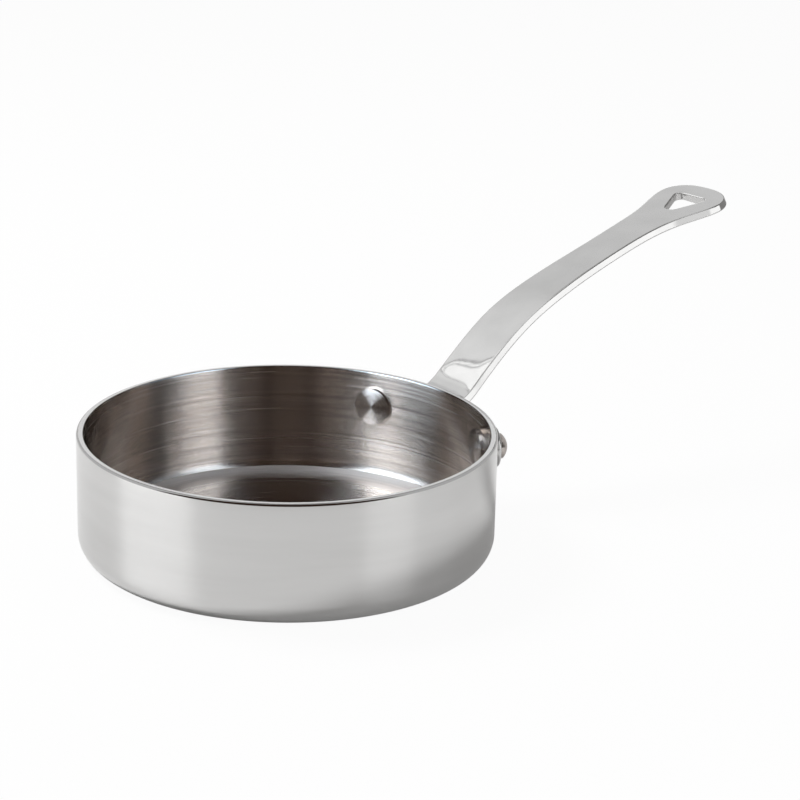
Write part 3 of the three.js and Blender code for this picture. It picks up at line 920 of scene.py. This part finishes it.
corner_out = HOLE_LENGTH - HOLE_CORNER_RADIUS
corner_across = HOLE_WIDTH / 2 - HOLE_CORNER_RADIUS
span = corner_out - HOLE_POINT_RADIUS
side_lean = math.atan2(corner_across, span)
side_lean += math.asin((HOLE_CORNER_RADIUS - HOLE_POINT_RADIUS) / math.hypot(span, corner_across))
side = 90 + math.degrees(side_lean)
hole_outline = [
    *arc((corner_out, -corner_across), HOLE_CORNER_RADIUS, -side, 0, HOLE_STEPS),
    *arc((corner_out, corner_across), HOLE_CORNER_RADIUS, 0, side, HOLE_STEPS),
    *arc((HOLE_POINT_RADIUS, 0), HOLE_POINT_RADIUS, side, 360 - side, HOLE_STEPS),
]
tip_lean = math.hypot(1, TIP_SLOPE)
hole_start = HANDLE_REACH - (HOLE_FROM_TIP + HOLE_LENGTH) / tip_lean
hole = [(hole_start + out / tip_lean, across) for out, across in reversed(hole_outline)]
print("plan of", len(plan), "points, hole of", len(hole))

# %% Draw the foot plate
FOOT_FACE = 63.2
FOOT_THICKNESS = 3.1
LOBE_RADIUS = 6.2
FOOT_TOP_BELOW_RIM = 3.2
RIVET_SPACING = 49.4
RIVET_BELOW_RIM = 10.5
LOBE_STEPS = 24
FOOT_TOP_STEPS = 60

rivet_angle = math.asin(RIVET_SPACING / 2 / PAN_RADIUS)
rivet_height = PAN_HEIGHT - RIVET_BELOW_RIM
lobe_at = (FOOT_FACE - FOOT_THICKNESS) * rivet_angle
foot_top = PAN_HEIGHT - FOOT_TOP_BELOW_RIM


def foot_top_at(run):
    """The foot's upper edge: level behind the stem, then falling gently to the lobes."""
    share = min(max((abs(run) - half_width[0]) / (lobe_at - half_width[0]), 0), 1)
    fall = share * share * (3 - 2 * share)
    return foot_top + (rivet_height + LOBE_RADIUS - foot_top) * fall


foot_plan = [
    *arc((lobe_at, rivet_height), LOBE_RADIUS, -90, 90, LOBE_STEPS),
    *[(run, foot_top_at(run)) for run in np.linspace(lobe_at, -lobe_at, FOOT_TOP_STEPS)[1:-1]],
    *arc((-lobe_at, rivet_height), LOBE_RADIUS, 90, 270, LOBE_STEPS),
]


def on_foot(run, height, down):
    """A place on the foot plate, so far along the wall, up, and in from its outer face, in metres."""
    turn = run / (FOOT_FACE - FOOT_THICKNESS)
    radius = FOOT_FACE - down
    return Vector((radius * math.cos(turn), radius * math.sin(turn), height)) * MM


def foot_depth(run, height):
    """Thickness of the foot plate, the same all over."""
    return FOOT_THICKNESS


# %% Make the handle
FOOT_EDGE_ROUND = 0.8
HOLE_EDGE_ROUND = 0.45
OUTLINE_SPACING = 0.8
HOLE_SPACING = 0.5
HANDLE_FILL = 1.3
FOOT_FILL = 1.6

casting = bmesh.new()
handle_loops = [even_loop(plan, OUTLINE_SPACING), even_loop(hole, HOLE_SPACING)]
handle_rounds = [EDGE_ROUND, HOLE_EDGE_ROUND]
plate(casting, handle_loops, handle_rounds, [EDGE_DRAFT, 0], depth_at, on_handle, HANDLE_FILL)
foot_loop = even_loop(foot_plan, OUTLINE_SPACING)
plate(casting, [foot_loop], [FOOT_EDGE_ROUND], [0], foot_depth, on_foot, FOOT_FILL)
handle = finish_mesh("pan_handle", casting)
dress(handle, cast, "handle", handle_mirrors)

# %% [markdown]
# ## The rivets
# Each rivet is a solid steel pin: a broad low head inside the pan, turned on a lathe, and a button outside
# where the end was pressed over. A half sphere would do from far off, but the head's flat crown and crisp
# edge make the two bright wedges that the photograph shows. So the whole profile, with both heads and the
# pin between them, is turned about the rivet's own axis and laid along the radius through the wall.

# %% Turn and seat the rivets
HEAD_RADIUS = 5.6
HEAD_EDGE = 1.1
HEAD_DOME = 0.4
HEAD_SEAT = 57.63
BUTTON_RADIUS = 3.75
BUTTON_EDGE = 1.4
BUTTON_DOME = 1.7
BUTTON_SEAT = 63.3
PIN_RADIUS = 2.5
HEADS_SUNK = 0.3
DOME_STEPS = 14
RIVET_SEGMENTS = 64


def dome(radius, height, level, sign):
    """A shallow cap from its middle to its edge, rising from a level to one side."""
    sphere = (radius**2 + height**2) / (2 * height)
    half = math.degrees(math.asin(radius / sphere))
    points = arc((0, 0), sphere, 90, 90 - half, DOME_STEPS)
    return [(abs(x), level + sign * (y - sphere + height)) for x, y in points]


def rivet(name, side_sign):
    """A rivet along its own Z axis, then laid along the radius through the wall."""
    head = dome(HEAD_RADIUS, HEAD_DOME, HEAD_SEAT - HEAD_EDGE, -1)
    button = dome(BUTTON_RADIUS, BUTTON_DOME, BUTTON_SEAT + BUTTON_EDGE, 1)
    profile = [
        *head,
        (HEAD_RADIUS, HEAD_SEAT),
        (HEAD_RADIUS, HEAD_SEAT + HEADS_SUNK),
        (PIN_RADIUS, HEAD_SEAT + HEADS_SUNK),
        (PIN_RADIUS, BUTTON_SEAT - HEADS_SUNK),
        (BUTTON_RADIUS, BUTTON_SEAT - HEADS_SUNK),
        (BUTTON_RADIUS, BUTTON_SEAT),
        *reversed(button),
    ]
    piece = turn_profile(name, profile, RIVET_SEGMENTS)
    lay = Matrix.Rotation(math.pi / 2, 4, "Y")
    turn = Matrix.Rotation(side_sign * rivet_angle, 4, "Z")
    piece.matrix_world = turn @ Matrix.Translation((0, 0, rivet_height * MM)) @ lay
    return piece


for name, side_sign in (("rivet_left", 1), ("rivet_right", -1)):
    pin = rivet("pan_" + name, side_sign)
    dress(pin, turned_steel, name, rivet_mirrors)
